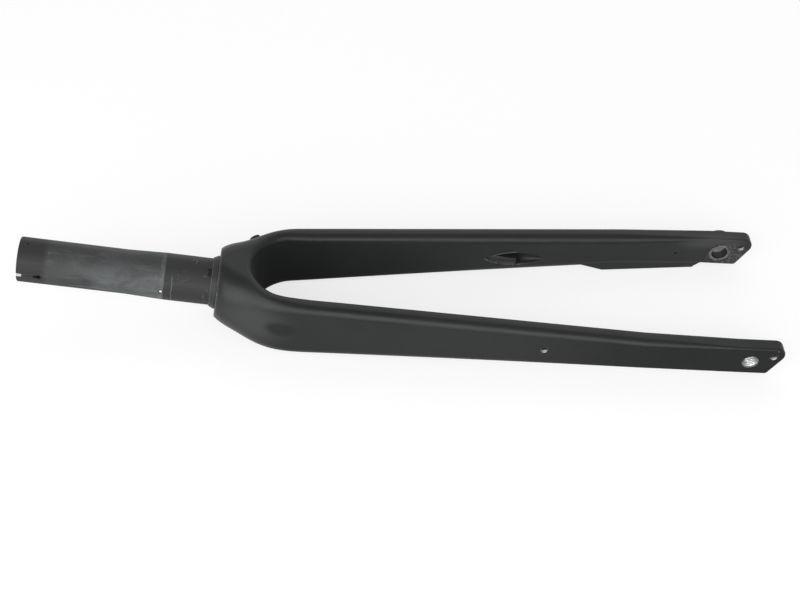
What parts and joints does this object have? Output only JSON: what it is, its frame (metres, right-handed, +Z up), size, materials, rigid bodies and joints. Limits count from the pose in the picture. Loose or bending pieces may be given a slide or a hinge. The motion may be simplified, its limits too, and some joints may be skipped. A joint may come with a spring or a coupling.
{
  "type": "rigid bicycle fork",
  "caption": "Rigid carbon bicycle fork with a slotted steerer tube, wide crown, tapering legs, through-axle dropouts and a flat brake mount pad; it holds a front wheel.",
  "frame": {"origin": "bottom centre of the bounding box, on the surface that the fork lies on", "axes": "+X down the legs, away from the steerer; +Y to the rider's left; +Z up from the surface, which is forward on a bicycle"},
  "size_m": [0.5434, 0.125, 0.0682],
  "materials": {
    "moulding": "satin black paint on moulded carbon",
    "tube": "bare carbon, sanded",
    "race": "black, edges worn bright",
    "insert": "turned",
    "grommet": "matte"
  },
  "bodies": {
    "root": {"axle_insert_left": "insert", "axle_insert_right": "insert", "crown_and_legs": "moulding", "crown_race": "race", "fender_insert_left": "insert", "fender_insert_right": "insert", "hose_entry_grommet": "grommet", "hose_exit_grommet": "grommet", "leg_boss_left": "insert", "leg_boss_right": "insert", "mount_insert_lower": "insert", "mount_insert_upper": "insert", "steerer_tube": "tube"}
  },
  "joints": []
}
